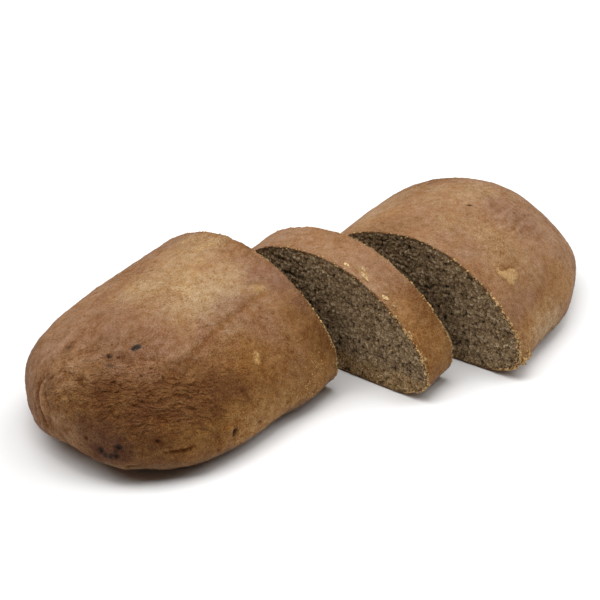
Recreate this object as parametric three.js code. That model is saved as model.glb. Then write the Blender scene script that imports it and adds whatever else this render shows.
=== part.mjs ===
// A dark rye loaf, baked free on the oven floor and cut across twice: a long end, one slice and a
// short end, each slid a little further out of line than the last. Millimetres, +Z up, resting on Z = 0.
import * as THREE from 'three';

// The whole loaf before it was cut. X runs from tip to tip, with X = 0 halfway, and Y runs across.
const loaf = {
  length: 263,
  width: 120,
  height: 63,
  lean: 1.75, // the -Y side stands out this much further than the +Y side
  waist: 0.314, // height of the widest line, as a share of the height
  crownSlope: 0.05, // the crown is this share higher towards the +X end and lower towards the -X end
  pressed: 1.55, // depth of rounded underside that the oven floor has pressed flat
  flatUntil: 0.36, // share of the half length at which the underside starts to leave the floor
  undersideBend: 4.1, // how late the underside then turns up
};

// Each end is drawn in by superellipses: a high bend starts late, a high bluntness ends square.
const leftEnd = {
  plan: { bend: 5.2, bluntness: 1.58 },
  crown: { bend: 2.95, bluntness: 2.6 },
  waistRise: 5.6,
};
const rightEnd = {
  plan: { bend: 4.25, bluntness: 3.15 },
  crown: { bend: 3.85, bluntness: 2 },
  waistRise: -7.1,
};

// The cross-section is a superellipse whose power differs above and below the waist and on each side.
const sectionPower = {
  above: { nearSide: 1.57, farSide: 2.04 },
  below: { nearSide: 4.15, farSide: 4.4 },
};

// Bulges and dents of the crust: a place on the whole loaf, how far it reaches, and its push.
const leftReliefs = [
  { at: [-112, 35, 33], reach: 22, push: [-0.6, 0.5, 0] }, // shoulder of the blunt tip
  { at: [-124, 17, 8], reach: 15, push: [-1.6, -0.7, 0] }, // foot of the blunt tip
  { at: [-122, -28, 8], reach: 13, push: [-1.2, -2.6, 0] }, // foot of the nose
  { at: [-128, -14, 11], reach: 12, push: [-0.6, -0.6, -0.6] }, // foot between the tip and the nose
  { at: [-118, -35, 10], reach: 7, push: [0.5, 0.8, 1.4] }, // nose, pushed in from below
  { at: [-114, -40, 6], reach: 6, push: [0.6, 1.6, 0] }, // notch where the foot folded as it rose
  { at: [-94, -52, 6], reach: 14, push: [0, -0.7, 0] }, // near foot behind the notch
  { at: [-104, 42, 34], reach: 16, push: [-0.7, 0.7, 0] }, // far shoulder, fuller than the tip
  { at: [-6, 24, 59], reach: 20, push: [0, 0.4, 1.2] }, // crown at the cut
  { at: [-44, -60, 8], reach: 10, push: [0, 1, 0.3] }, // dent in the near foot
  { at: [-19, -61, 9], reach: 12, push: [0, -2, 0] }, // near foot, fuller before the cut
];
const sliceReliefs = [
  { at: [-1.3, -58, 10], reach: 17, push: [0, -3.1, 0] }, // near foot, slumped outwards at the first cut
  { at: [12, 58, 12], reach: 18, push: [0, 1.2, 0] }, // far foot
  { at: [-1.3, 26, 58], reach: 15, push: [0, 0.3, 0.9] }, // far shoulder at the first cut
  { at: [-1.3, -57, 1], reach: 8, push: [0, 0.3, 1.8] }, // underside, turned up at the near edge
  { at: [22, -58, 8], reach: 9, push: [0.4, -1.6, 0] }, // near foot at the second cut
  { at: [22, -60, 22], reach: 9, push: [0.3, -1.5, 0] }, // near side above it
];
const rightReliefs = [
  { at: [28, -58, 8], reach: 16, push: [-1.4, -2, 0] }, // near foot beside the cut
  { at: [75, -62, 5], reach: 18, push: [0.5, -2.5, 0] }, // lip where the side meets the floor
  { at: [105, -33, 42], reach: 16, push: [-0.2, 1.5, 0] }, // hollow in the shoulder
  { at: [118, -50, 12], reach: 18, push: [2, 1.1, 0] }, // round corner of the tip
  { at: [24, -55, 0], reach: 10, push: [0, 0.5, 1.8] }, // underside, turned up at the near edge
  { at: [89, 20, 55], reach: 22, push: [0.1, 0.4, 1] }, // crown before the tip
  { at: [60, 40, 50], reach: 16, push: [0, -0.5, -0.5] }, // far shoulder
];

const firstCut = -1.3;
const secondCut = 22.7;

// Each piece turns about the middle of its first cut, in degrees, and then slides.
const pieces = [
  { name: 'left_chunk', from: -loaf.length / 2, to: firstCut, reliefs: leftReliefs },
  { name: 'slice', from: firstCut, to: secondCut, reliefs: sliceReliefs, turn: 3.9, slide: [14.2, -38.6] },
  {
    name: 'right_chunk', from: secondCut, to: loaf.length / 2, reliefs: rightReliefs,
    turn: 7, slide: [31.9, -65],
  },
];

const colours = { left_chunk: 0x91653f, slice: 0x756048, right_chunk: 0xa57549 };
const breadRoughness = 0.8;

// The mesh: points around the loaf, and about how far apart its rings stand.
const ringPoints = 60;
const ringPitch = 6;

// Height of a superellipse over a point from the middle (0) to the end (1) of its base.
function superellipse(share, { bend, bluntness }) {
  return (1 - share ** bend) ** (1 / bluntness);
}

function signedPower(value, power) {
  return Math.sign(value) * Math.abs(value) ** power;
}

// One point of the crust: x along the loaf, and the angle around it from the +Y side over the top.
function crustPoint(x, angle) {
  const along = THREE.MathUtils.clamp(x / (loaf.length / 2), -1, 1);
  const share = Math.abs(along);
  const end = along < 0 ? leftEnd : rightEnd;
  const across = Math.cos(angle);
  const up = Math.sin(angle);

  const halfWidth = (loaf.width / 2 - loaf.lean * across) * superellipse(share, end.plan);
  const waist = loaf.waist * loaf.height + end.waistRise * share ** 3;
  const crown = (loaf.height - waist) * superellipse(share, end.crown) * (1 + loaf.crownSlope * along);
  const lifted = Math.max(0, (share - loaf.flatUntil) / (1 - loaf.flatUntil));
  const belly = waist * superellipse(lifted, { bend: loaf.undersideBend, bluntness: 2 });
  const below = belly + loaf.pressed * superellipse(share, { bend: 4, bluntness: 2 });

  const side = up < 0 ? sectionPower.below : sectionPower.above;
  const power = THREE.MathUtils.lerp(side.nearSide, side.farSide, (1 + across) / 2);
  const y = halfWidth * signedPower(across, 2 / power);
  const z = waist + (up < 0 ? below : crown) * signedPower(up, 2 / power);
  return new THREE.Vector3(x, y, Math.max(0, z));
}

function relieved(point, reliefs) {
  const moved = point.clone();
  for (const { at, reach, push } of reliefs) {
    const distance = point.distanceTo(new THREE.Vector3(...at)) / reach;
    moved.addScaledVector(new THREE.Vector3(...push), Math.exp(-(distance ** 2)));
  }
  return moved;
}

// Where the rings stand, closer together where an end draws in.
function stations(from, to) {
  const half = loaf.length / 2;
  const first = Math.asin(from / half);
  const last = Math.asin(to / half);
  const steps = Math.ceil(((last - first) * half) / ringPitch);
  const angleOf = (step) => THREE.MathUtils.lerp(first, last, step / steps);
  return Array.from({ length: steps + 1 }, (_, step) => half * Math.sin(angleOf(step)));
}

// A closed solid: crust from ring to ring, with a ring of no size at a tip and a flat face at a cut.
function pieceGeometry({ from, to, reliefs }) {
  const positions = [];
  const faces = [];

  function addRing(x) {
    const isTip = Math.abs(x) > loaf.length / 2 - 0.001;
    const count = isTip ? 1 : ringPoints;
    const start = positions.length / 3;
    for (let i = 0; i < count; i += 1) {
      const point = crustPoint(x, (2 * Math.PI * i) / ringPoints);
      positions.push(...relieved(point, reliefs).toArray());
    }
    return Array.from({ length: ringPoints }, (_, i) => start + (i % count));
  }

  function addFace(...corners) {
    if (new Set(corners).size === 3) faces.push(...corners);
  }

  function addQuad(a, b, c, d) {
    addFace(a, b, c);
    addFace(a, c, d);
  }

  const rings = stations(from, to).map(addRing);
  for (let r = 1; r < rings.length; r += 1) {
    for (let i = 0; i < ringPoints; i += 1) {
      const next = (i + 1) % ringPoints;
      addQuad(rings[r - 1][i], rings[r - 1][next], rings[r][next], rings[r][i]);
    }
  }

  // Across a cut, each point above the waist joins the one at the same angle below it.
  for (const [ring, facesBack] of [[rings[0], true], [rings[rings.length - 1], false]]) {
    for (let i = 0; i < ringPoints / 2; i += 1) {
      const mirrored = (ringPoints - i) % ringPoints;
      const corners = [ring[i], ring[i + 1], ring[ringPoints - i - 1], ring[mirrored]];
      addQuad(...(facesBack ? corners.reverse() : corners));
    }
  }

  const geometry = new THREE.BufferGeometry();
  geometry.setAttribute('position', new THREE.Float32BufferAttribute(positions, 3));
  geometry.setIndex(faces);
  geometry.computeVertexNormals();
  return geometry;
}

function pieceMesh(piece) {
  const { name, from, turn = 0, slide = [0, 0] } = piece;
  const geometry = pieceGeometry(piece).translate(-from, 0, 0);
  const material = new THREE.MeshStandardMaterial({
    color: colours[name],
    roughness: breadRoughness,
    metalness: 0,
  });
  const mesh = new THREE.Mesh(geometry, material);
  mesh.name = name;
  mesh.position.set(from + slide[0], slide[1], 0);
  mesh.rotation.z = THREE.MathUtils.degToRad(turn);
  return mesh;
}

const row = new THREE.Group();
for (const piece of pieces) {
  row.add(pieceMesh(piece));
}

// The origin lies under the middle of the row.
const middle = new THREE.Box3().setFromObject(row, true).getCenter(new THREE.Vector3());
row.position.set(-middle.x, -middle.y, 0);

const group = new THREE.Group();
group.add(row);

export default group;
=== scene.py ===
import math

import bmesh
import bpy
import numpy as np
from mathutils import Matrix, Vector
from mathutils.geometry import delaunay_2d_cdt


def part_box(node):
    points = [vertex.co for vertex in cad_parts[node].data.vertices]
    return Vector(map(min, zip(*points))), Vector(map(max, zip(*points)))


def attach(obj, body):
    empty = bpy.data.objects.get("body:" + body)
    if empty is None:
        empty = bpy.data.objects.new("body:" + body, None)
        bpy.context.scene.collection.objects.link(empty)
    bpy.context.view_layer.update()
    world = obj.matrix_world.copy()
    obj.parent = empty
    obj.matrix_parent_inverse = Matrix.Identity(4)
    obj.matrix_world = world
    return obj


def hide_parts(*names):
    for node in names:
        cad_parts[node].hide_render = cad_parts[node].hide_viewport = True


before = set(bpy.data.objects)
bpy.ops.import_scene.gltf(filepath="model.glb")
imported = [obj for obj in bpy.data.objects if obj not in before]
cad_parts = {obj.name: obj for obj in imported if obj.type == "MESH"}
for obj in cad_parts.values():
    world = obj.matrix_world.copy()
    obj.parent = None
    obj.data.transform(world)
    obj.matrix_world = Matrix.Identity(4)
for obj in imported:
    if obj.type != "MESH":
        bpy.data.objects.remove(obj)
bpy.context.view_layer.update()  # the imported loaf: left_chunk, slice and right_chunk, in metres
mm = 0.001

# The whole loaf before it was cut, in mm: x from tip to tip, y across, z up from the board.
loaf = {
    "length": 263, "width": 120, "height": 63,
    "lean": 1.75,  # the near side (-y) stands out this much further than the far side
    "waist": 0.314,  # height of the widest line, as a share of the height
    "crownSlope": 0.05,  # the crown rises by this share towards +x
    "pressed": 1.55,  # rounded underside that the oven floor pressed flat
    "flatUntil": 0.36, "undersideBend": 4.1,
    "leftEnd": {"plan": (5.2, 1.58), "crown": (2.95, 2.6), "waistRise": 5.6},
    "rightEnd": {"plan": (4.25, 3.15), "crown": (3.85, 2.0), "waistRise": -7.1},
    "powerAbove": (1.57, 2.04), "powerBelow": (4.15, 4.4),  # near side, far side
    "cuts": (-1.3, 22.7),
}
halfLength = loaf["length"] / 2

# The long end's corner on the whole loaf tells where the loaf frame's zero lies in the row's frame.
_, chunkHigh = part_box("left_chunk")
rowShift = np.array([
    chunkHigh.x / mm - loaf["cuts"][0],
    chunkHigh.y / mm - (loaf["width"] / 2 - loaf["lean"]),
    0,
])


def superellipse(share, bend, bluntness):
    return np.maximum(0, 1 - share**bend) ** (1 / bluntness)


def signedPower(value, power):
    return np.sign(value) * np.abs(value) ** power


def mix(low, high, share):
    return low + (high - low) * share


def smoothStep(low, high, value):
    t = np.clip((value - low) / (high - low), 0, 1)
    return t * t * (3 - 2 * t)


# Points of the crust: x along the loaf, angle round it from the far side over the top.
def crustPoints(x, angle):
    along = np.clip(x / halfLength, -1, 1)
    share = np.abs(along)
    across, up = np.cos(angle), np.sin(angle)
    left, right = loaf["leftEnd"], loaf["rightEnd"]
    plan = np.where(along < 0, superellipse(share, *left["plan"]), superellipse(share, *right["plan"]))
    dome = np.where(along < 0, superellipse(share, *left["crown"]), superellipse(share, *right["crown"]))
    rise = np.where(along < 0, left["waistRise"], right["waistRise"])
    halfWidth = (loaf["width"] / 2 - loaf["lean"] * across) * plan
    waist = loaf["waist"] * loaf["height"] + rise * share**3
    crown = (loaf["height"] - waist) * dome * (1 + loaf["crownSlope"] * along)
    lifted = np.maximum(0, (share - loaf["flatUntil"]) / (1 - loaf["flatUntil"]))
    belly = waist * superellipse(lifted, loaf["undersideBend"], 2)
    below = belly + loaf["pressed"] * superellipse(share, 4, 2)
    near = np.where(up < 0, loaf["powerBelow"][0], loaf["powerAbove"][0])
    far = np.where(up < 0, loaf["powerBelow"][1], loaf["powerAbove"][1])
    power = mix(near, far, (1 + across) / 2)
    y = halfWidth * signedPower(across, 2 / power)
    z = waist + np.where(up < 0, below, crown) * signedPower(up, 2 / power)
    return np.stack([x + 0 * y, y, np.maximum(0, z)], axis=-1)


def relieved(points, reliefs):
    moved = points.copy()
    for at, reach, push in reliefs:
        distance = np.linalg.norm(points - np.array(at), axis=-1) / reach
        moved += np.exp(-distance[..., None] ** 2) * np.array(push)
    return moved


# From the whole loaf's place, in mm, to the row's place, in metres.
def setOut(points, piece):
    turn = math.radians(piece["turn"])
    pivot = piece["span"][0] if piece["turn"] else 0
    x, y, z = points[..., 0] - pivot, points[..., 1], points[..., 2]
    placed = np.stack([
        pivot + x * math.cos(turn) - y * math.sin(turn) + piece["slide"][0],
        x * math.sin(turn) + y * math.cos(turn) + piece["slide"][1],
        z,
    ], axis=-1)
    return (placed + rowShift) * mm


# A smooth random field from -1 to 1, with about one bump in each size (mm).
def bumps(points, size, seed):
    repeat = 61  # the field starts again after this many bumps
    lattice = np.random.default_rng(seed).uniform(-1, 1, (repeat, repeat, repeat))
    cell = points / size
    base = np.floor(cell).astype(int)
    t = cell - base
    t = t**3 * (t * (t * 6 - 15) + 10)
    total = np.zeros(points.shape[:-1])
    for corner in np.ndindex(2, 2, 2):
        weight = np.prod(np.where(corner, t, 1 - t), axis=-1)
        values = lattice[tuple(((base + corner) % repeat).reshape(-1, 3).T)]
        total += weight * values.reshape(total.shape)
    return total


# Distance from each point to a path of places.
def distanceTo(points, path):
    places = np.array(path, float)
    nearest = np.linalg.norm(points - places[0], axis=-1)
    for start, end in zip(places[:-1], places[1:]):
        along = end - start
        t = np.clip((points - start) @ along / (along @ along), 0, 1)
        nearest = np.minimum(nearest, np.linalg.norm(points - start - t[..., None] * along, axis=-1))
    return nearest


# The skin's own point nearest to each place.
def onSkin(path, points):
    skinPoints = points.reshape(-1, 3)
    return [skinPoints[np.argmin(np.linalg.norm(skinPoints - place, axis=1))] for place in np.array(path)]


# How the edge of a mark goes, as shares of its reach: how far it wanders, where it ends, and where it
# is whole. A mark that reaches further than patchFrom, in mm, is a soft patch, and any other is a spot.
markEdges = {
    "patch": (0.45, 1.8, 0.1), "spot": (0.3, 1.25, 0.55), "patchFrom": 5,
    "wide": 0.8,  # distance from one waver to the next, as a share of the reach
    "fine": (0.65, 0.28, 1.6),  # finer wavers: how strong, share of the reach, and the least in mm
}


# How much each point lies in a list of marks: 1 inside, 0 outside, with a mottled, wandering edge.
def covered(points, marks, seed):
    cover = np.zeros(points.shape[:-1])
    weaker, finer, finest = markEdges["fine"]
    for number, (path, reach, amount) in enumerate(marks):
        key = seed + 10 * number
        distance = distanceTo(points, onSkin(path, points)) / reach
        wander, outside, inside = markEdges["patch" if reach > markEdges["patchFrom"] else "spot"]
        distance += wander * bumps(points, markEdges["wide"] * reach, key)
        distance += weaker * wander * bumps(points, max(finer * reach, finest), key + 1)
        cover = np.maximum(cover, amount * smoothStep(outside, inside, distance))
    return cover


def addObject(name, data):
    made = bpy.data.objects.new(name, data)
    bpy.context.scene.collection.objects.link(made)
    return made


# Where the camera stands, in degrees and mm: its direction on the plan, its height, and its target.
viewing = {
    "azimuth": -51.25, "elevation": 33.8, "distance": 1161.5, "target": (50.5, 3.5, 0),
    "lens": 132.72, "sensor": 36, "clip": (50, 20000),
}


def addCamera():
    azimuth, elevation = math.radians(viewing["azimuth"]), math.radians(viewing["elevation"])
    ahead = Vector((
        -math.sin(azimuth) * math.cos(elevation),
        math.cos(azimuth) * math.cos(elevation),
        -math.sin(elevation),
    ))
    data = bpy.data.cameras.new("camera")
    data.lens, data.sensor_width, data.sensor_fit = viewing["lens"], viewing["sensor"], "HORIZONTAL"
    data.clip_start, data.clip_end = (distance * mm for distance in viewing["clip"])
    camera = addObject("camera", data)
    target = Vector((np.array(viewing["target"]) + rowShift) * mm)
    place = Matrix.Translation(target - ahead * viewing["distance"] * mm)
    camera.matrix_world = place @ ahead.to_track_quat("-Z", "Y").to_matrix().to_4x4()
    bpy.context.scene.camera = camera


addCamera()
print("camera placed")


# sRGB hex to the linear values that shaders take
def linear(hexColour):
    parts = [int(hexColour[i:i + 2], 16) / 255 for i in (1, 3, 5)]
    return (*[c / 12.92 if c <= 0.04045 else ((c + 0.055) / 1.055) ** 2.4 for c in parts], 1)


# Adds a node with its settings and inputs: each input is a value, an output, or a node's first output.
def addNode(tree, kind, settings, inputs):
    node = tree.nodes.new("ShaderNode" + kind)
    for name, value in settings.items():
        setattr(node, name, value)
    for name, value in inputs.items():
        if isinstance(value, bpy.types.Node):
            value = value.outputs[0]
        if isinstance(value, bpy.types.NodeSocket):
            tree.links.new(value, node.inputs[name])
        else:
            node.inputs[name].default_value = value
    return node


def newMaterial(name):
    material = bpy.data.materials.new(name)
    material.use_nodes = True
    material.node_tree.nodes.clear()
    return material, material.node_tree


# Places on the surface in millimetres, so that a pattern's size is a real size.
def millimetres(tree):
    places = addNode(tree, "TexCoord", {}, {})
    return addNode(tree, "VectorMath", {"operation": "SCALE"}, {
        0: places.outputs["Object"], "Scale": 1000,
    })


# Sum of noises, each from -strength to +strength round one bump in its size; starts from another value.
def speckled(tree, places, start, layers):
    total = start
    for size, strength in layers:
        noise = addNode(tree, "TexNoise", {}, {"Vector": places, "Scale": 1 / size, "Detail": 1.5})
        spread = addNode(tree, "MapRange", {"clamp": False}, {
            "Value": noise,
            "From Min": 0.3, "From Max": 0.7, "To Min": -strength, "To Max": strength,
        })
        total = addNode(tree, "Math", {"operation": "ADD"}, {0: total, 1: spread})
    return total


# A colour made lighter or darker by a share, which shifts its hue too.
def shadedColour(tree, colour, shade, finish):
    limited = addNode(tree, "Math", {"operation": "MAXIMUM"}, {0: shade, 1: finish["darkest"] - 1})
    brightness = addNode(tree, "VectorMath", {"operation": "MULTIPLY_ADD"}, {
        0: limited, 1: finish["shadeTint"], 2: (1, 1, 1),
    })
    return addNode(tree, "VectorMath", {"operation": "MULTIPLY"}, {0: colour, 1: brightness})


# Wrinkles where the skin shrank, in mm: they run in planes square to facing, their distance and length
# along the skin, and their depth. The mesh holds them at this size, and the material once more, finer.
wrinkleKinds = {
    "noseWrinkles": {"facing": (0.62, 0.6, 0.5), "pitch": 3.1, "run": 6, "depth": 1.15},
    "tipWrinkles": {"facing": (0.18, 0.78, -0.6), "pitch": 4.2, "run": 8, "depth": 0.65},
    "browWrinkles": {"facing": (0.12, 0.83, 0.55), "pitch": 2.6, "run": 8, "depth": 0.35},
}

# Rye crust, baked free on the oven floor: a matt, pebbled skin, tan on the crown, browner down the
# sides, with a faint broad gloss where it faces up. The paler, greyer tan of the crown and the cream
# patches is partly their own colour and partly painted sheen.
crustFinish = {
    "side": "#7a532e",
    "warm": "#fff6e4",
    "tones": {
        # the crown's and the cream patches' paler, greyer tan is partly the crust's own colour and partly
        # painted sheen
        "crown": "#987354", "amber": "#835825", "gold": "#a37948", "creamAndSheen": "#aa8b67",
        "mauve": "#856049", "deep": "#5b3512", "dusk": "#543120", "dusty": "#765c42",
        "edge": "#5d4022", "flake": "#b5905c", "scorch": "#29201a",
    },
    "speckle": [(16, 0.05), (5, 0.06), (2.1, 0.08), (1, 0.15), (0.55, 0.28)],  # mm, share of brightness
    "coarser": 0.75,  # how much stronger the speckle is where the skin is coarse; the extra stands for painted glints and painted shade of the fine relief
    "darkest": 0.5,  # the least share of its brightness that any place keeps
    "shadeTint": (0.66, 1, 1.5),  # what is darker is redder and deeper, what is lighter is paler
    "warmth": 0.3, "warmthSpread": [(22, 0.35), (6, 0.35), (1.5, 0.3)],  # share of the warm tint
    "hollows": 0.5, "folds": 0.08,  # how strongly the painted shade and light of the mesh's hollows and ridges, and of the fine folds, are laid on
    "specksAndGlints": (2.2, 0.15, 0.2),  # pale specks where the skin is coarse, partly flour and partly painted glints: mm apart, share, and how pale
    "roughness": 0.6, "roughnessSpread": [(7, 0.08)], "specular": 0.16, "ior": 1.45,
    "fineGrain": (0.8, 0.3),  # mm from grain to grain and deep
    "pebbles": (1.9, 0.36),  # the same, where the skin is coarse
    "fineWrinkles": 0.66,  # size of the material's wrinkles against the mesh's
}


# A noise stretched along planes square to facing, from -1 to 1: the folds of shrunken skin.
def foldNoise(tree, places, kind):
    facing = Vector(kind["facing"]).normalized()
    run = kind["run"] * crustFinish["fineWrinkles"]
    along = addNode(tree, "VectorMath", {"operation": "DOT_PRODUCT"}, {0: places, 1: facing})
    pushed = addNode(tree, "VectorMath", {"operation": "SCALE"}, {
        0: facing, "Scale": along.outputs["Value"],
    })
    squeezed = addNode(tree, "VectorMath", {"operation": "MULTIPLY_ADD"}, {
        0: pushed, 1: [kind["run"] / kind["pitch"] - 1] * 3, 2: places,
    })
    noise = addNode(tree, "TexNoise", {}, {
        "Vector": squeezed, "Scale": 1 / run, "Detail": 1.0, "Distortion": 0.9,
    })
    return addNode(tree, "MapRange", {"clamp": False}, {
        "Value": noise, "From Min": 0.35, "From Max": 0.65, "To Min": -1.0, "To Max": 1.0,
    })


# The crust's colour before its painted shade and speckle: its tones, a slow change of warmth, and pale
# specks that are partly flour and partly painted glints.
def crustColour(tree, places, covers):
    colour = linear(crustFinish["side"])
    for tone, shade in crustFinish["tones"].items():
        colour = addNode(tree, "MixRGB", {}, {
            "Fac": covers[tone], "Color1": colour, "Color2": linear(shade),
        })
    colour = addNode(tree, "MixRGB", {"blend_type": "MULTIPLY", "use_clamp": True}, {
        "Fac": speckled(tree, places, crustFinish["warmth"], crustFinish["warmthSpread"]),
        "Color1": colour, "Color2": linear(crustFinish["warm"]),
    })
    # pale specks where the skin is coarse: partly flour, partly painted glints
    apart, share, pale = crustFinish["specksAndGlints"]
    cells = addNode(tree, "TexVoronoi", {}, {"Vector": places, "Scale": 1 / apart})
    chosen = addNode(tree, "Math", {"operation": "LESS_THAN"}, {0: cells.outputs["Color"], 1: share})
    speck = addNode(tree, "MapRange", {}, {
        "Value": cells.outputs["Distance"],
        "From Min": 0.12, "From Max": 0.32, "To Min": pale, "To Max": 0.0,
    })
    for limit in (chosen, covers["coarse"]):
        speck = addNode(tree, "Math", {"operation": "MULTIPLY"}, {0: speck, 1: limit})
    return addNode(tree, "MixRGB", {}, {
        "Fac": speck, "Color1": colour, "Color2": linear(crustFinish["tones"]["flake"]),
    })


def bakedRyeCrust():
    material, tree = newMaterial("baked_rye_crust")
    places = millimetres(tree)
    covers = {
        name: addNode(tree, "Attribute", {"attribute_name": name}, {}).outputs["Fac"]
        for name in (*crustFinish["tones"], *wrinkleKinds, "coarse", "lift")
    }
    colour = crustColour(tree, places, covers)

    # relief too fine for the mesh: folds of the wrinkled patches, then grain, then pebbles
    height, folds = 0.0, 0.0
    for name, kind in wrinkleKinds.items():
        fold = addNode(tree, "Math", {"operation": "MULTIPLY"}, {
            0: foldNoise(tree, places, kind), 1: covers[name],
        })
        height = addNode(tree, "Math", {"operation": "MULTIPLY_ADD"}, {
            0: fold, 1: 0.5 * crustFinish["fineWrinkles"] * kind["depth"], 2: height,
        })
        folds = addNode(tree, "Math", {"operation": "MULTIPLY_ADD"}, {
            0: fold, 1: crustFinish["folds"], 2: folds,
        })
    for name, where in (("fineGrain", 1.0), ("pebbles", covers["coarse"])):
        size, depth = crustFinish[name]
        grain = addNode(tree, "TexNoise", {}, {"Vector": places, "Scale": 1 / size, "Detail": 2.0})
        grain = addNode(tree, "Math", {"operation": "MULTIPLY"}, {0: grain, 1: where})
        height = addNode(tree, "Math", {"operation": "MULTIPLY_ADD"}, {
            0: grain, 1: 2 * depth, 2: height,
        })
    bump = addNode(tree, "Bump", {}, {"Height": height, "Distance": mm})

    # painted shade in the hollows and painted light on the ridges, from the mesh's lift and the fine
    # folds; speckled all over, more so where the skin is coarse
    shade = addNode(tree, "Math", {"operation": "MULTIPLY_ADD"}, {
        0: covers["lift"], 1: crustFinish["hollows"], 2: folds,
    })
    # stronger speckle where the skin is coarse: painted glints and painted shade of its fine relief
    strength = addNode(tree, "Math", {"operation": "MULTIPLY_ADD"}, {
        0: covers["coarse"], 1: crustFinish["coarser"], 2: 1.0,
    })
    shade = addNode(tree, "Math", {"operation": "MULTIPLY_ADD"}, {
        0: speckled(tree, places, 0.0, crustFinish["speckle"]), 1: strength, 2: shade,
    })
    shaded = shadedColour(tree, colour, shade, crustFinish)
    gloss = speckled(tree, places, crustFinish["roughness"], crustFinish["roughnessSpread"])
    shader = addNode(tree, "BsdfPrincipled", {}, {
        "Base Color": shaded, "Roughness": gloss, "IOR": crustFinish["ior"],
        "Specular IOR Level": crustFinish["specular"], "Normal": bump,
    })
    addNode(tree, "OutputMaterial", {}, {"Surface": shader.outputs["BSDF"]})
    return material


# Rye crumb cut with a toothed knife: close, moist and rough, with small dark pores and pale grits; the
# pores' dark tone and the granules' pale tops are painted shade and painted light of its relief.
crumbFinish = {
    "crumb": "#8b7355", "pore": "#3a2e21", "grit": "#c8b391", "bran": "#7a5a38", "low": "#9a774a",
    "crustEdge": "#5f4225", "underCrust": "#665036",
    "speckle": [(14, 0.06), (4, 0.08), (1.9, 0.12), (1.1, 0.3), (0.6, 0.66)],  # mm, share of brightness
    "darkest": 0.3, "shadeTint": (0.84, 1, 1.25),
    "brans": (1.8, 0.1), "grits": (1.2, 0.16),  # mm from one to the next, share of them that shows
    "lifts": {"pore": (-0.05, -1.6), "grit": (0.3, 1.9)},  # lift where each tone begins and is whole: the pore tone is painted shade, the grit tone here painted light
    "crustThick": 0.5, "underThick": 1.6,  # mm from the rim to where the crust and what is under it end
    "ragged": [(3, 0.25), (1.3, 0.35), (0.6, 0.3)],  # how both edges wander, in mm
    "roughness": 0.85, "specular": 0.25, "ior": 1.4,
    "fineGrain": (0.7, 0.34),  # mm from grain to grain and deep
}


def cutRyeCrumb():
    material, tree = newMaterial("cut_rye_crumb")
    places = millimetres(tree)
    covers = {
        name: addNode(tree, "Attribute", {"attribute_name": name}, {}).outputs["Fac"]
        for name in ("low", "lift", "rimGap")
    }
    colour = addNode(tree, "MixRGB", {}, {
        "Fac": covers["low"], "Color1": linear(crumbFinish["crumb"]), "Color2": linear(crumbFinish["low"]),
    })
    layers = []  # each with how much of it shows, and its tone
    for kind, tone in (("brans", "bran"), ("grits", "grit")):
        size, share = crumbFinish[kind]
        cells = addNode(tree, "TexVoronoi", {}, {"Vector": places, "Scale": 1 / size})
        chosen = addNode(tree, "Math", {"operation": "LESS_THAN"}, {
            0: cells.outputs["Color"], 1: share,
        })
        middle = addNode(tree, "MapRange", {}, {
            "Value": cells.outputs["Distance"],
            "From Min": 0.25, "From Max": 0.5, "To Min": 0.8, "To Max": 0.0,
        })
        fleck = addNode(tree, "Math", {"operation": "MULTIPLY"}, {0: chosen, 1: middle})
        layers.append((fleck, tone))
    # high lift paints light in the grit tone and low lift paints shade in the pore tone
    for tone, (begins, whole) in crumbFinish["lifts"].items():
        layers.append((addNode(tree, "MapRange", {}, {
            "Value": covers["lift"], "From Min": begins, "From Max": whole,
        }), tone))
    wander = speckled(tree, places, covers["rimGap"], crumbFinish["ragged"])
    for tone, thick in (("underCrust", "underThick"), ("crustEdge", "crustThick")):
        layers.append((addNode(tree, "MapRange", {}, {
            "Value": wander, "From Min": crumbFinish[thick], "From Max": 0.4 * crumbFinish[thick],
        }), tone))
    for share, tone in layers:
        colour = addNode(tree, "MixRGB", {}, {
            "Fac": share, "Color1": colour, "Color2": linear(crumbFinish[tone]),
        })

    size, depth = crumbFinish["fineGrain"]
    grain = addNode(tree, "TexNoise", {}, {"Vector": places, "Scale": 1 / size, "Detail": 3.0})
    bump = addNode(tree, "Bump", {}, {"Height": grain, "Distance": depth * mm * 2})
    shade = speckled(tree, places, 0.0, crumbFinish["speckle"])
    shader = addNode(tree, "BsdfPrincipled", {}, {
        "Base Color": shadedColour(tree, colour, shade, crumbFinish),
        "Roughness": crumbFinish["roughness"], "IOR": crumbFinish["ior"],
        "Specular IOR Level": crumbFinish["specular"], "Normal": bump,
    })
    addNode(tree, "OutputMaterial", {}, {"Surface": shader.outputs["BSDF"]})
    return material


# Dry rye crumbs and thin chips of crust, torn off by the knife: paler than either face, and dull.
looseFinish = {
    "torn_rye_crumbs": "#c29e68", "chipped_rye_crust": "#c0a06f",
    "speckle": [(3, 0.25), (1, 0.5)],  # mm, share of brightness
    "roughness": 0.8,
}


def looseRye(name):
    material, tree = newMaterial(name)
    places = millimetres(tree)
    shaded = addNode(tree, "VectorMath", {"operation": "SCALE"}, {
        0: linear(looseFinish[name])[:3], "Scale": speckled(tree, places, 1.0, looseFinish["speckle"]),
    })
    shader = addNode(tree, "BsdfPrincipled", {}, {
        "Base Color": shaded, "Roughness": looseFinish["roughness"],
    })
    addNode(tree, "OutputMaterial", {}, {"Surface": shader.outputs["BSDF"]})
    return material


crustMaterial, crumbMaterial = bakedRyeCrust(), cutRyeCrumb()
looseMaterials = looseRye("torn_rye_crumbs"), looseRye("chipped_rye_crust")
print("materials made")

# How finely the skins and cut faces are meshed: points round the loaf, mm from ring to ring and from
# point to point on a cut, and how often the rings are smoothed before they get their relief.
meshing = {"around": 440, "ringPitch": 1.0, "cutPitch": 0.56, "smoothing": 14}

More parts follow.
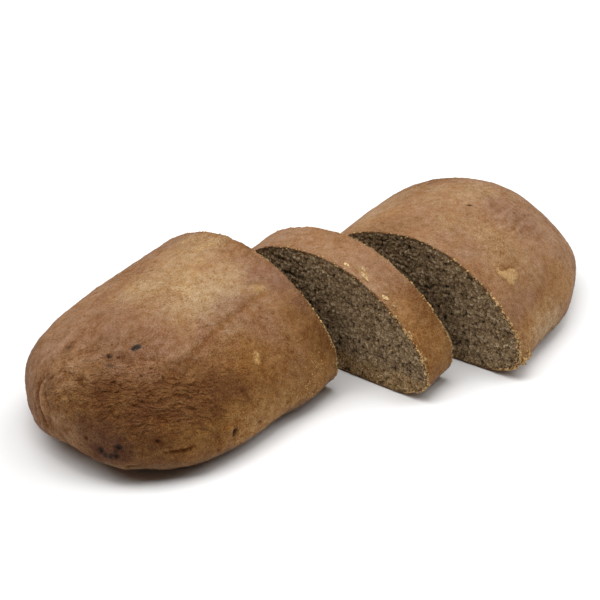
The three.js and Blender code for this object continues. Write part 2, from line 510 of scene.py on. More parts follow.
# The baked skin's own relief, in mm: depth and distance from bump to bump.
skin = {
    "lumps": [(0.4, 30), (0.2, 10), (0.12, 4.2), (0.1, 2.2), (0.12, 1.4)],
    "fineFrom": 5,  # lumps closer together than this are stronger where the skin is coarse
    "coarser": 1.35,  # and this is how much
    "mottle": 0.4, "mottled": 3,  # how strongly one size of lumps gets painted light and shade, and which in the list
    "flatBelow": 0.2, "fullAbove": 5,  # height over the board where the relief starts and is whole
    "foldStray": [(2.2, 9), (0.7, 3.5)],  # how far a wrinkle strays, and over what distance
    "creaseStray": (0.5, 4),  # the same for a crease
    "beads": (1.7, 1.3),  # from bead to bead of a beaded crease, and how much deeper it is for them
    "foldTone": 1.5, "creaseTone": 1.4, "pitTone": 1.3,  # how strongly each gets painted light and shade
    "blister": (0.3, 0.25),  # how high it stands and how much painted light its raised skin gets
    "blisterRim": (1.22, 0.14, 1.1),  # painted shade round its rim: place and half width against the blister's, and how dark
    "rimFrom": (43, 47),  # height over the board where the rim starts and is whole
    "pore": (0.4, 1.0), "poreTone": (0.4, 1.1),  # radius of the scattered pores, and how dark the painted shade in them is
    "poreDepth": 0.7,  # against their radius
    "bevel": 0.32,  # the knife leaves the crust's edge this far from sharp
    "rag": (0.42, 2.2, 1.3),  # and tears it: depth, and distance from tear to tear, wide and fine
    "ragFrom": (0.2, 6),  # height over the board where the tears start and are whole
    "worn": (0.8, 0.4, 0.6, 1.6),  # how brown the bevel is outside and inside, how uneven, distance
}


# Where the rings stand, evenly along the skin.
def stations(piece):
    first, last = (math.asin(end / halfLength) for end in piece["span"])
    fine = halfLength * np.sin(np.linspace(first, last, 2001))
    lines = crustPoints(fine[:, None], np.array([0, math.pi / 2, math.pi])[None, :])
    steps = np.linalg.norm(np.diff(lines, axis=0), axis=-1).mean(axis=1)
    run = np.concatenate([[0], np.cumsum(steps)])
    return np.interp(np.linspace(0, run[-1], math.ceil(run[-1] / meshing["ringPitch"]) + 1), run, fine)


# One ring of evenly spaced points: over the top, then back underneath.
def ringAt(x, piece):
    halves = []
    for start in (0, math.pi):
        fine = relieved(crustPoints(x, np.linspace(start, start + math.pi, 721)), piece["reliefs"])
        run = np.concatenate([[0], np.cumsum(np.linalg.norm(np.diff(fine, axis=0), axis=1))])
        even = np.linspace(0, run[-1], meshing["around"] // 2 + 1)[:-1]
        halves.append(np.stack([np.interp(even, run, fine[:, k]) for k in range(3)], axis=1))
    return np.concatenate(halves)


def outwards(rings):
    around = np.roll(rings, -1, axis=1) - np.roll(rings, 1, axis=1)
    along = np.gradient(rings, axis=0)
    normals = np.cross(around, along)
    normals[..., 0] += 1e-9 * np.sign(rings[..., 0])  # so that a tip's single point has one too
    return normals / np.linalg.norm(normals, axis=-1, keepdims=True)


# Distance of each point from the middle of the piece's blister: 1 at its outline.
def blisterShare(points, piece):
    if not piece["blister"]:
        return 9 + 0 * points[..., 0]
    spots = [distanceTo(points, onSkin([place], points)) / width for place, width in piece["blister"]]
    return np.min(spots, axis=0) + 0.1 * bumps(points, 2, piece["seed"] + 79)


# The folds of one kind of wrinkle: -0.5 in the narrow valleys, 0.5 on the broad ridges.
def foldHeight(points, kind, seed):
    facing = np.array(kind["facing"]) / np.linalg.norm(kind["facing"])
    (far, slow), (near, quick) = skin["foldStray"]
    wander = points + far * bumps(points, slow, seed + 1)[..., None]
    wander = wander + near * bumps(points, quick, seed + 4)[..., None]
    squeezed = wander + (wander @ facing)[..., None] * facing * (kind["run"] / kind["pitch"] - 1)
    fold = np.abs(bumps(squeezed, kind["run"], seed + 2))
    fold += 0.5 * np.abs(bumps(squeezed, kind["run"] / 2, seed + 3))
    return np.minimum(fold, 0.75) / 0.75 - 0.5


# A round hollow: 1 in its middle.
def hollow(points, place, radius):
    return np.exp(-(distanceTo(points, [place]) / radius) ** 2)


# Height of the skin over its smooth shape in mm, and its lift: how much painted light or painted shade
# each point gets.
def skinRelief(points, piece, wrinkled, blister, coarse):
    seed = piece["seed"]
    coarser = mix(1, skin["coarser"], coarse)
    height = sum(
        depth * bumps(points, size, seed + k) * (coarser if size < skin["fineFrom"] else 1)
        for k, (depth, size) in enumerate(skin["lumps"])
    )
    mottled = skin["mottled"]
    lift = skin["mottle"] * bumps(points, skin["lumps"][mottled][1], seed + mottled) * coarser
    # wrinkles and creases get painted light on their ridges and painted shade in their valleys
    for number, (name, kind) in enumerate(wrinkleKinds.items()):
        fold = foldHeight(points, kind, seed + 50 + 10 * number)
        height += wrinkled[name] * kind["depth"] * fold
        lift += skin["foldTone"] * wrinkled[name] * fold
    stray, over = skin["creaseStray"]
    beadPitch, deeper = skin["beads"]
    for number, (path, width, depth) in enumerate(piece["creases"] + piece["beadedCreases"]):
        wander = points + stray * bumps(points, over, seed + 60 + number)[..., None]
        groove = np.exp(-(distanceTo(wander, onSkin(path, points)) / width) ** 2)
        if number >= len(piece["creases"]):
            beads = bumps(points, beadPitch, seed + 70 + number)
            groove = deeper * groove * smoothStep(-0.15, 0.2, beads)
        height -= depth * groove
        lift -= skin["creaseTone"] * np.clip(depth, -0.5, 1.2) * groove
    # the blister's raised skin gets painted light, and its rim painted shade
    high, light = skin["blister"]
    rimPlace, rimWidth, paintedRimShade = skin["blisterRim"]
    raised = smoothStep(1.1, 0.9, blister)
    rim = np.exp(-((blister - rimPlace) / rimWidth) ** 2) * smoothStep(*skin["rimFrom"], points[..., 2])
    height += high * raised
    lift += light * raised - paintedRimShade * rim
    # pits and pores are sunk in painted shade
    for place, radius, depth in piece["pits"]:
        pit = hollow(points, onSkin([place], points)[0], radius)
        height -= depth * pit
        lift -= skin["pitTone"] * pit
    draw = np.random.default_rng(seed + 80)
    for place in points[1:-1].reshape(-1, 3)[draw.integers(0, points[1:-1].size // 3, piece["pores"])]:
        radius = draw.uniform(*skin["pore"])
        pit = hollow(points, place, radius)
        height -= skin["poreDepth"] * radius * pit
        lift -= draw.uniform(*skin["poreTone"]) * pit
    return height, lift


# The ends of a piece that are cuts: which row of its rings, and which way the cut faces along x.
def cutEnds(piece):
    ends = zip(piece["span"], ((0, -1), (-1, 1)))
    return [end for x, end in ends if abs(x) < halfLength]


# The skin of a piece: its rings with their relief, their lift of painted light and shade, and how much of
# each tone they have.
def skinRings(piece):
    rings = np.stack([ringAt(x, piece) for x in stations(piece)])
    for _ in range(meshing["smoothing"]):
        rings = (np.roll(rings, 1, axis=1) + 2 * rings + np.roll(rings, -1, axis=1)) / 4
    normals = outwards(rings)
    seed = piece["seed"]
    wrinkled = {
        kind: covered(rings, piece["wrinkles"].get(kind, []), seed + 150 + k)
        for k, kind in enumerate(wrinkleKinds)
    }
    tones = {
        tone: covered(rings, marks, seed + 200 + 100 * k)
        for k, (tone, marks) in enumerate(piece["tones"].items())
    }
    blister = blisterShare(rings, piece)  # its thin skin is as pale as a flake
    tones["flake"] = np.maximum(tones["flake"], 0.6 * smoothStep(1.08, 0.92, blister))
    tones["coarse"] = 1 - tones["crown"]
    height, lift = skinRelief(rings, piece, wrinkled, blister, tones["coarse"])
    tones["edge"] = np.zeros(lift.shape)
    tones.update(wrinkled)
    onBoard = smoothStep(skin["flatBelow"], skin["fullAbove"], rings[..., 2])
    rings = rings + normals * (height * onBoard)[..., None]
    rings[..., 2] = np.maximum(0, rings[..., 2])
    return bevelled(rings, normals, lift, tones, piece)


# The knife's bevel: a cut's last ring draws back, and another, smaller one stands on the cut.
def bevelled(rings, normals, lift, tones, piece):
    seed = piece["seed"]
    depth, wide, fine = skin["rag"]
    outside, inside, uneven, size = skin["worn"]
    for row, facing in cutEnds(piece):
        rim = rings[row]
        inwards = -normals[row]
        inwards[:, 0] = 0
        rag = bumps(rim, wide, seed + 90 + row) + 0.6 * bumps(rim, fine, seed + 95 + row)
        rag = depth * rag[:, None] * smoothStep(*skin["ragFrom"], rim[:, 2:])
        inner = rim + inwards * (skin["bevel"] + rag)
        inner[:, 2] = np.maximum(0.02, inner[:, 2])
        rim[:, 0] -= facing * (skin["bevel"] + rag[:, 0])
        at = 0 if row == 0 else len(rings)
        rings = np.insert(rings, at, inner, axis=0)
        lift = np.insert(lift, at, lift[row], axis=0)
        tones = {tone: np.insert(values, at, values[row], axis=0) for tone, values in tones.items()}
        worn = uneven * bumps(rim, size, seed + 99 + row)
        tones["edge"][row] = outside + worn
        tones["edge"][1 if row == 0 else -2] = inside + worn
    return rings, lift, tones


# The skin's faces, with triangles round a tip's single point, and their corners' places on the map for
# baking, where the skin lies unrolled on the lower share of the square.
def skinFaces(rings, index, share):
    around = meshing["around"]
    u = np.arange(around + 1) / around
    run = np.concatenate([[0], np.cumsum(np.linalg.norm(np.diff(rings, axis=0), axis=-1).mean(axis=1))])
    corner = np.stack(np.meshgrid(u, run / run[-1] * share), axis=-1)
    corners = [corner[:-1, :-1], corner[:-1, 1:], corner[1:, 1:], corner[1:, :-1]]
    quadMap = np.stack(corners, axis=2).reshape(-1, 4, 2)
    nextIndex = np.roll(index, -1, axis=1)
    quads = np.stack([index[:-1], nextIndex[:-1], nextIndex[1:], index[1:]], axis=-1).reshape(-1, 4)
    polygons, maps = [], []
    for quad, place in zip(quads.tolist(), quadMap.tolist()):
        keep = [k for k in range(4) if quad[k] != quad[k - 1]]
        if len(keep) == 3:
            middle = (place[0][0] + place[1][0]) / 2
            pole = 0 if quad[0] == quad[1] else 2
            place[pole] = place[pole + 1] = [middle, place[pole][1]]
        polygons.append([quad[k] for k in keep])
        maps.extend(place[k] for k in keep)
    return polygons, maps


# The cut face's relief, in mm: slow waves (depth, distance), granules of crumb (size, height of each, how
# much they differ), grain and pores (depth, distance).
crumbRelief = {
    "waves": (0.3, 26), "granules": (1.75, 0.42, 0.26), "grain": (0.14, 0.9), "pores": (0.5, 2.2),
    "poreFields": 5,  # distance from one group of pores to the next
    "streaks": (6, (1, 0.45, 1.7)),  # left by the knife: distance, and how they are drawn out (x, y, z)
    "fade": (0.2, 1.4),  # distance from the rim where the relief starts and is whole
    # shares in the lift: painted light and shade from domes, grain and pores, with each granule's own tone
    # and the knife's streaks
    "lift": {"dome": 0.7, "tone": 0.55, "grain": 0.4, "pore": 0.9, "streak": 0.25},
    "contrast": 1.3,  # how strongly high and low crumb get painted light and shade
}


# Signed distance from points on a cut to its rim: positive inside.
def rimGap(points, rim):
    gap = np.full(len(points), np.inf)
    inside = np.zeros(len(points), bool)
    for start, end in zip(rim, np.roll(rim, -1, axis=0)):
        along = end - start
        t = np.clip((points - start) @ along / (along @ along), 0, 1)
        gap = np.minimum(gap, np.linalg.norm(points - start - t[:, None] * along, axis=1))
        crosses = (start[1] > points[:, 1]) != (end[1] > points[:, 1])
        reached = start[0] + (points[:, 1] - start[1]) * along[0] / (along[1] + 1e-12)
        inside ^= crosses & (points[:, 0] < reached)
    return np.where(inside, gap, -gap)


# Granules packed over a cut: how far each point is from its granule's middle, as a share of the size,
# and a random tone for that granule.
def granules(points, size, seed):
    repeat = 128  # the pattern starts again after this many granules, beyond the cut's other side
    draw = np.random.default_rng(seed)
    middles = draw.uniform(0.12, 0.88, (repeat, repeat, 2))
    tones = draw.uniform(-1, 1, (repeat, repeat))
    cell = np.floor(points / size).astype(int)
    nearest, tone = np.full(len(points), np.inf), np.zeros(len(points))
    for step in np.ndindex(3, 3):
        other = cell + np.array(step) - 1
        key = tuple((other % repeat).T)
        distance = np.linalg.norm(points / size - other - middles[key], axis=1)
        tone = np.where(distance < nearest, tones[key], tone)
        nearest = np.minimum(nearest, distance)
    return nearest, tone


# How high each point of a cut stands in mm, and its lift: painted light on the granules' domes and grain,
# painted shade in the pores, with each granule's own tone and the knife's streaks.
def crumbHeights(points, seed):
    waveDepth, waveSize = crumbRelief["waves"]
    grainDepth, grainSize = crumbRelief["grain"]
    size, domed, uneven = crumbRelief["granules"]
    away, tone = granules(points[:, 1:], size, seed)
    dome = 0.5 - (away / 0.6) ** 2
    grain = bumps(points, grainSize, seed + 2)
    height = waveDepth * bumps(points, waveSize, seed) + domed * dome + uneven * tone + grainDepth * grain
    depth, size = crumbRelief["pores"]
    pore = smoothStep(0.3, 0.65, bumps(points, size, seed + 8))
    pore = pore * smoothStep(-0.4, 0.3, bumps(points, crumbRelief["poreFields"], seed + 9))
    size, drawnOut = crumbRelief["streaks"]
    streak = bumps(points * drawnOut, size, seed + 10)
    share = crumbRelief["lift"]
    lift = share["dome"] * dome + share["tone"] * tone + share["grain"] * grain
    return height - depth * pore, lift - share["pore"] * pore + share["streak"] * streak


# Fills a cut's rim with evenly scattered points, sunk and raised as crumb; returns them, their
# distance from the rim, their lift, and triangles numbered from the rim's points onwards.
def cutFace(rim, facing, seed):
    pitch = meshing["cutPitch"]
    flat = rim[:, 1:]
    low, high = flat.min(axis=0), flat.max(axis=0)
    rowPitch = pitch * 0.866  # rows of even triangles
    y, z = np.meshgrid(np.arange(low[0], high[0], pitch), np.arange(low[1], high[1], rowPitch))
    y[::2] += pitch / 2
    grid = np.stack([y.ravel(), z.ravel()], axis=1)
    grid += np.random.default_rng(seed).uniform(-0.22, 0.22, grid.shape) * pitch
    gap = rimGap(grid, flat)
    grid, gap = grid[gap > 0.55 * pitch], gap[gap > 0.55 * pitch]
    both = np.concatenate([flat, grid])
    corners = [Vector(p) for p in both]
    _, _, triangles, origins, _, _ = delaunay_2d_cdt(corners, [], [list(range(len(flat)))], 1, 1e-5)
    order = np.array([o[0] for o in origins])
    triangles = order[np.array(triangles)]
    side, other = (both[triangles[:, k]] - both[triangles[:, 0]] for k in (1, 2))
    turned = np.sign(side[:, 0] * other[:, 1] - side[:, 1] * other[:, 0]) != facing
    triangles[turned] = triangles[turned][:, ::-1]

    points = np.concatenate([np.full((len(grid), 1), rim[:, 0].mean()), grid], axis=1)
    height, lift = crumbHeights(points, seed)
    full = smoothStep(*crumbRelief["fade"], gap)
    points[:, 0] += facing * height * full
    return points, gap, lift * crumbRelief["contrast"] * mix(0.5, 1, full), triangles


# How much of the baking map a piece's skin takes, with the cut faces above it, and the gap between.
mapShares = {"chunk": 0.66, "slice": 0.1, "margin": 0.02}


# A whole piece as one closed mesh: the skin, ring by ring, and a face at each cut; returned with the
# few rings next to each cut, where crumbs cling.
def pieceMesh(name, piece):
    around = meshing["around"]
    cuts = cutEnds(piece)
    rings, lift, tones = skinRings(piece)
    rims = [rings[:4] if row == 0 else rings[:-5:-1] for row, _ in cuts]
    rows = len(rings)
    count = rows * around
    index = np.arange(count).reshape(rows, around)
    for row in {0, -1} - {row for row, _ in cuts}:
        index[row] = index[row, 0]
    skinShare = mapShares["chunk" if len(cuts) == 1 else "slice"]
    polygons, maps = skinFaces(rings, index, skinShare)
    slots = [0] * len(polygons)

    values = {tone: [cover.ravel()] for tone, cover in tones.items()}
    values.update({"lift": [lift.ravel()], "rimGap": [np.zeros(count)], "low": [np.zeros(count)]})
    places = [rings.reshape(-1, 3)]
    base = skinShare + mapShares["margin"]
    scale = (1 - skinShare - 2 * mapShares["margin"]) / (loaf["height"] + 2) / len(cuts)
    for row, facing in cuts:
        inner, gap, faceLift, triangles = cutFace(rings[row], facing, piece["seed"] + 300 + row)
        number = np.concatenate([index[row], count + np.arange(len(inner))])
        flat = np.concatenate([rings[row], inner])[:, 1:]
        flatMap = (flat - flat.min(axis=0)) * scale + (0.01, base)
        base += (loaf["height"] + 1.5) * scale
        polygons.extend(number[triangles].tolist())
        maps.extend(flatMap[triangles].reshape(-1, 2).tolist())
        slots.extend([1] * len(triangles))
        places.append(inner)
        count += len(inner)
        for tone in tones:
            values[tone].append(np.zeros(len(inner)))
        level = inner[:, 2] + 3 * bumps(inner, 8, piece["seed"] + 310)
        top, amount = piece["lowCrumb"]
        values["lift"].append(faceLift - 0.35 * amount * np.exp(-((level - top - 4) / 3) ** 2))
        values["rimGap"].append(gap)
        values["low"].append(0.6 * amount * smoothStep(top, top - 6, level))

    mesh = bpy.data.meshes.new(name)
    mesh.from_pydata(setOut(np.concatenate(places), piece).tolist(), [], polygons)
    mesh.polygons.foreach_set("material_index", slots)
    mesh.polygons.foreach_set("use_smooth", [True] * len(slots))
    mesh.uv_layers.new(name="OFBake").data.foreach_set("uv", np.array(maps).ravel())
    for tone, parts in values.items():
        mesh.attributes.new(tone, "FLOAT", "POINT").data.foreach_set("value", np.concatenate(parts))
    mesh.materials.append(crustMaterial)
    mesh.materials.append(crumbMaterial)
    work = bmesh.new()
    work.from_mesh(mesh)
    loose = [vertex for vertex in work.verts if not vertex.link_faces]  # a tip's spare points
    bmesh.ops.delete(work, geom=loose, context="VERTS")
    for edge in work.edges:
        if len({face.material_index for face in edge.link_faces}) > 1:
            edge.smooth = False
    work.to_mesh(mesh)
    work.free()
    return mesh, rims


pieces, built, rims = {}, {}, {}  # by node: its dictionary, its object, and its rings beside each cut


def addPiece(node, piece):
    mesh, rims[node] = pieceMesh("baked_" + node, piece)
    made = addObject(mesh.name, mesh)
    pieces[node], built[node] = piece, made
    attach(made, "root")
    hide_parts(node)
    print("made", made.name, len(mesh.polygons))


# One dictionary for each piece, in mm and degrees on the whole loaf:
# span, turn, slide - the stretch of the loaf that it is, and how it was turned and slid out of line
# reliefs - bulges and dents of the loaf: place, how far it reaches, push
# wrinkles - wrinkled patches: path, reach, amount
# creases - path, half width, depth; a beaded one is broken into beads
# pits - place, radius, depth; pores - how many smaller ones are scattered over it
# blister - one flat blister: places, with how wide it is there
# lowCrumb - up to where the crumb is drier and golden, and by how much
# tones - patches of each of the crust's colours: path, reach, amount; the crown and cream ones are partly
# painted sheen

# The long end, whose blunt tip wrinkled as it shrank and is scorched low down.
leftChunk = {
    "span": (-halfLength, loaf["cuts"][0]), "turn": 0, "slide": (0, 0), "seed": 11,
    "reliefs": [
        ((-112, 35, 33), 22, (-0.6, 0.5, 0)),  # shoulder of the blunt tip
        ((-124, 17, 8), 15, (-1.6, -0.7, 0)),  # foot of the blunt tip
        ((-122, -28, 8), 13, (-1.2, -2.6, 0)),  # foot of the nose
        ((-128, -14, 11), 12, (-0.6, -0.6, -0.6)),  # foot between the tip and the nose
        ((-118, -35, 10), 7, (0.5, 0.8, 1.4)),  # nose, pushed in from below
        ((-114, -40, 6), 6, (0.6, 1.6, 0)),  # notch where the foot folded as it rose
        ((-94, -52, 6), 14, (0, -0.7, 0)),  # near foot behind the notch
        ((-104, 42, 34), 16, (-0.7, 0.7, 0)),  # far shoulder, fuller than the tip
        ((-6, 24, 59), 20, (0, 0.4, 1.2)),  # crown at the cut
        ((-44, -60, 8), 10, (0, 1, 0.3)),  # dent in the near foot
        ((-19, -61, 9), 12, (0, -2, 0)),  # near foot, fuller before the cut
    ],
    "wrinkles": {
        "noseWrinkles": [
            ([(-120, -4, 43), (-112, -20, 43), (-101, -32, 42), (-88, -41, 40)], 11, 0.9),
            ([(-88, -41, 40), (-68, -46, 42)], 9, 0.35),
            ([(-120, -26, 34), (-104, -44, 33), (-86, -52, 32)], 12, 0.65),
            ([(-127, 6, 38), (-121, 7, 44), (-112, 6, 49), (-104, 1, 52)], 9, 0.6),
        ],
        "tipWrinkles": [
            ([(-124, 19, 37), (-128, 13, 30), (-131, 3, 22)], 10, 0.9),
            ([(-108, 20, 49), (-119, 10, 45), (-126, -2, 38)], 11, 0.7),
        ],
        "browWrinkles": [([(-92, -26, 50), (-70, -32, 49), (-44, -34, 50)], 12, 0.3)],
    },
    "creases": [
        ([(-122.4, 20.1, 39.1), (-124.7, 20, 35.8), (-126.8, 19.7, 31.9), (-128.6, 16.9, 28.4),
         (-129.6, 14.3, 24.4), (-130.5, 10.5, 20.8)], 1.2, 1.9),
        ([(-125, 17.5, 38), (-127.5, 16.5, 34), (-129.6, 13.4, 30), (-130.6, 10.5, 26),
         (-131, 8, 20.9)], 1.4, -0.5),
        ([(-20, -29.6, 54.3), (-34, -29.8, 53.8), (-49, -30, 52.7), (-64, -31.5, 51),
         (-78.5, -31.5, 49), (-89.5, -32, 47), (-96, -31.6, 45.4)], 1.9, 0.5),
        ([(-120, 24, 36), (-123, 25, 31), (-126, 21, 25), (-128, 17, 19)], 0.8, 0.6),
        ([(-119.6, -31.8, 11.9), (-118, -36, 10), (-115.7, -37.9, 12.5)], 1.1, 0.9),
        ([(-61, -25.2, 54.6), (-57.5, -27.2, 54), (-55.2, -28.6, 53.5)], 0.35, 0.5),
        ([(-122, -9, 42), (-117, -13, 43.4), (-112, -19, 42.6)], 0.9, 0.25),
        ([(-53.8, -7.5, 60.4), (-53.2, -11.9, 59.6)], 0.35, 0.5),
    ],
    "beadedCreases": [
        ([(-109.1, -45.5, 19.1), (-105.3, -48.3, 18.8), (-101.3, -50.9, 18.8), (-96.9, -53.3, 19.5),
         (-92.6, -55.1, 21.4)], 0.85, 1),
    ],
    "pits": [
        ((-76.9, -58.6, 15.8), 1.2, 1.2), ((-76.1, -58.2, 17.4), 1.5, 1.6),
        ((-75.5, -58, 18.8), 1.1, 1), ((-60.1, -60.6, 15.3), 1.2, 1.1), ((-39.5, -61.7, 14.6), 1, 0.8),
        ((-86.1, -56.6, 11.7), 1, 0.9), ((-67.8, 22.8, 55.5), 1, 0.8), ((-41.7, 21.7, 58.4), 0.8, 0.7),
        ((-46.4, -30.7, 52.6), 1.3, 0.5), ((-112, -42.2, 25.6), 1.2, 1.1),
        ((-94.8, -18.1, 51.6), 0.9, 0.8), ((-91.5, -21.4, 51.3), 0.9, 0.8),
        ((-23.5, -61.7, 16.7), 0.8, 0.7), ((-129.1, -14.1, 24.6), 0.8, 0.8),
        ((-121.8, 13.9, 42.1), 1, 0.8), ((-128.7, 5, 36.9), 0.9, 0.8), ((-93.2, -19.8, 51.5), 0.7, 0.6),
        ((-90.9, -22.7, 51), 0.6, 0.5), ((-100.5, -9.6, 52.2), 0.8, 0.7),
        ((-99.4, -11.4, 52.2), 0.7, 0.6), ((-120.6, -34.2, 20.6), 0.9, 0.8),
        ((-120.8, -33.2, 10.8), 1, 1), ((-96.7, 5.9, 54.1), 0.8, 0.4), ((-127.3, -20.9, 19.4), 1, 0.7),
        ((-124.6, -27.6, 18), 1.1, 0.8), ((-123.5, -28.9, 22.6), 1.1, 0.8),
        ((-102.7, -5.9, 52.4), 1, 0.6),
    ],
    "blister": [],
    "lowCrumb": (14, 1), "pores": 170,
    "tones": {
        "crown": [
            ([(-101, 28, 48), (-67, 26, 55), (-34, 17, 60)], 20, 0.9),
            ([(-28, 22, 59), (-22, -11, 61), (-18, -29, 55)], 24, 1),
            ([(-95, 36, 42), (-10, 44, 48)], 18, 0.8),
            ([(-90, 5, 56), (-70, -9, 59), (-54, -20, 57)], 15, 0.8),
            ([(-104, 5, 52), (-120, 9, 45)], 8, 0.5), ([(-132, -1, 27), (-129, -13, 21)], 6, 0.4),
            ([(-78, -24, 53), (-72, -24, 54)], 9, 0.8),
        ],
        "amber": [
            ([(-88, -57, 16), (-66, -60, 20), (-38, -61, 18)], 7, 0.8),
            ([(-41, -39, 48), (-40, -48, 40), (-54, -51, 37)], 13, 0.6),
            ([(-87, -56, 25), (-68, -59, 25)], 8, 0.9), ([(-116, -39, 26), (-99, -52, 20)], 9, 0.6),
            ([(-11, -38, 49), (-12, -56, 31)], 10, 0.6), ([(-98, 50, 14), (-8, 58, 16)], 10, 0.7),
        ],
        "gold": [
            ([(-70, -60, 12), (-30, -62, 14), (-7, -61, 16)], 7, 0.8),
            ([(-72, -59, 23), (-58, -61, 22)], 6, 0.5), ([(-40, -61, 20), (-26, -61, 20)], 6, 0.4),
        ],
        "creamAndSheen": [
            ([(-44, -5, 61), (-40, -14, 60)], 16, 1), ([(-60, 12, 60), (-49, 12, 60)], 12, 0.8),
            ([(-34, 9, 61), (-14, 16, 62)], 11, 0.8), ([(-24, -8, 61), (-25, -15, 60)], 9, 0.6),
            ([(-65, -4, 60), (-54, -20, 57)], 9, 0.6), ([(-20, -25, 57), (-18, -28, 55)], 4, 0.7),
        ],
        "mauve": [
            ([(-96, 0, 55), (-84, 10, 56), (-76, -6, 57)], 13, 0.5),
            ([(-104, 20, 50), (-84, 28, 51)], 12, 0.3), ([(-90, 12, 55), (-80, 18, 55)], 9, 0.55),
            ([(-100, -11, 52), (-84, -20, 53)], 9, 0.7), ([(-113, -12, 46), (-97, -24, 47)], 8, 0.45),
            ([(-62, -28, 53)], 5, 0.5), ([(-60, -29, 53), (-40, -23, 57), (-30, -29, 55)], 6, 0.6),
            ([(-9, -21, 59), (-6, -33, 53)], 9, 0.8), ([(-41, -33, 51), (-30, -40, 48)], 8, 0.5),
            ([(-99, 19, 51), (-90, 5, 56)], 10, 0.65), ([(-115, 27, 42), (-106, 22, 48)], 8, 0.5),
            ([(-119, 29, 38), (-129, 17, 27)], 6, 0.5),
        ],
        "deep": [
            ([(-119, -11, 44), (-103, -31, 43), (-83, -44, 40), (-66, -53, 34)], 8, 0.8),
            ([(-118, -23, 38), (-103, -41, 36), (-83, -51, 34)], 10, 0.8),
            ([(-125, -23, 30), (-112, -39, 31)], 9, 0.6), ([(-107, 17, 49), (-105, 17, 50)], 3, 0.5),
            ([(-101, -7, 53), (-99, -13, 52)], 4, 0.5), ([(-122, -9, 42), (-126, -14, 36)], 8, 0.5),
            ([(-6, -41, 48), (-8, -55, 34)], 9, 0.4), ([(-86, -32, 48), (-76, -35, 48)], 5, 0.4),
            ([(-98, 2, 54), (-92, -4, 55)], 7, 0.25), ([(-116, -39, 14), (-108, -45, 12)], 7, 0.4),
            ([(-104, 44, 30), (-80, 54, 28)], 11, 0.4),
        ],
        "dusk": [
            ([(-128, -20, 18), (-124, -29, 21)], 7, 0.8), ([(-127, -18, 28), (-125, -25, 26)], 7, 0.6),
            ([(-123, 16, 40), (-128, 9, 37)], 5, 0.3), ([(-111, -32, 38), (-114, -40, 26)], 6, 0.3),
        ],
        "flake": [
            ([(-46.6, -47.3, 41), (-47.6, -48.7, 39.6), (-48.5, -49.9, 38.3)], 1.5, 0.95),
            ([(-20.2, 12.6, 61.7), (-11.7, 10.8, 62.3)], 1, 0.6),
            ([(-15.4, 27.3, 58.2), (-13.1, 25.4, 59)], 1.1, 0.6), ([(-48.1, 23.9, 57.3)], 1.4, 0.5),
            ([(-69.5, 24.3, 55)], 1, 0.6), ([(-19.5, -26.5, 56.4)], 2.4, 0.35),
        ],
        "scorch": [
            ([(-92.2, -12.1, 54), (-90.3, -13.1, 54.3)], 1.6, 1), ([(-102.7, -5.9, 52.4)], 1.4, 0.95),
            ([(-127.3, -20.9, 19.4)], 1.7, 1), ([(-126.6, -22.9, 17.4)], 1.4, 0.9),
            ([(-125.3, -25.8, 17.6)], 1.5, 1), ([(-124.6, -27.6, 18)], 1.7, 1),
            ([(-124.2, -27.8, 20.2)], 1.1, 0.6), ([(-123.5, -28.9, 22.6)], 1.8, 1),
            ([(-122.6, -31.4, 16.2)], 1, 0.5), ([(-106.1, -10.2, 50.5)], 1.2, 0.4),
            ([(-76.7, -58.5, 16.2), (-75.8, -58.1, 18.2)], 1.1, 0.95),
            ([(-112, -42.2, 25.6)], 0.9, 0.6), ([(-100.5, -9.6, 52.2)], 0.7, 0.6),
            ([(-60.1, -60.6, 15.3)], 0.9, 0.75), ([(-39.5, -61.7, 14.6)], 0.7, 0.5),
            ([(-86.1, -56.6, 11.7)], 0.7, 0.5), ([(-107.3, -8.8, 50.5)], 1.5, 0.5),
            ([(-106.6, 16.8, 49.6)], 1.3, 0.6),
        ],
        "dusty": [
            ([(-124, -22, 8), (-112, -42, 6), (-90, -55, 4), (-60, -59, 4), (-30, -62, 4),
             (-4, -62, 4)], 5, 0.8),
        ],
    },
}
addPiece("left_chunk", leftChunk)

# The slice, with hardly a mark on its strip of crust.
breadSlice = {
    "span": loaf["cuts"], "turn": 3.9, "slide": (14.2, -38.6), "seed": 23,
    "reliefs": [
        ((-1.3, -58, 10), 17, (0, -3.1, 0)),  # near foot, slumped outwards at the first cut
        ((12, 58, 12), 18, (0, 1.2, 0)),  # far foot
        ((-1.3, 26, 58), 15, (0, 0.3, 0.9)),  # far shoulder at the first cut
        ((-1.3, -57, 1), 8, (0, 0.3, 1.8)),  # underside, turned up at the near edge
        ((22, -58, 8), 9, (0.4, -1.6, 0)),  # near foot at the second cut
        ((22, -60, 22), 9, (0.3, -1.5, 0)),  # near side above it
    ],
    "wrinkles": {},
    "creases": [([(11.5, -50.4, 39.5), (10.2, -51.6, 37.6)], 0.4, 0.4)],
    "beadedCreases": [],
    "pits": [((11.7, -61.4, 11.1), 1.2, 1.1)],
    "blister": [],
    "lowCrumb": (15, 1), "pores": 6,
    "tones": {
        "crown": [([(8, 36, 54), (13, 21, 60), (13, -3, 63), (14, -20, 59)], 26, 1)],
        "amber": [
            ([(9, -41, 47), (2, -56, 33), (2, -64, 21)], 8, 0.35),
            ([(2, 58, 16), (20, 58, 16)], 9, 0.7),
        ],
        "gold": [
            ([(4, -42, 46), (3, -56, 33), (2, -63, 21)], 7, 0.3),
            ([(14, -58, 27), (14, -63, 16)], 9, 0.5),
        ],
        "creamAndSheen": [([(5, -22, 58), (2, -29, 55)], 4, 0.2)],
        "mauve": [([(14, -20, 59), (14, -32, 54)], 8, 0.35)],
        "deep": [([(20, -47, 43), (19, -58, 30)], 6, 0.1)],
        "dusk": [],
        "flake": [([(5.5, -20, 59), (4.6, -24.4, 57.4)], 1.4, 0.4)],
        "scorch": [([(11.7, -61.4, 11.1)], 0.9, 0.6)],
        "dusty": [([(0, -62, 4), (22, -60, 4)], 5, 0.8)],
    },
}
addPiece("slice", breadSlice)

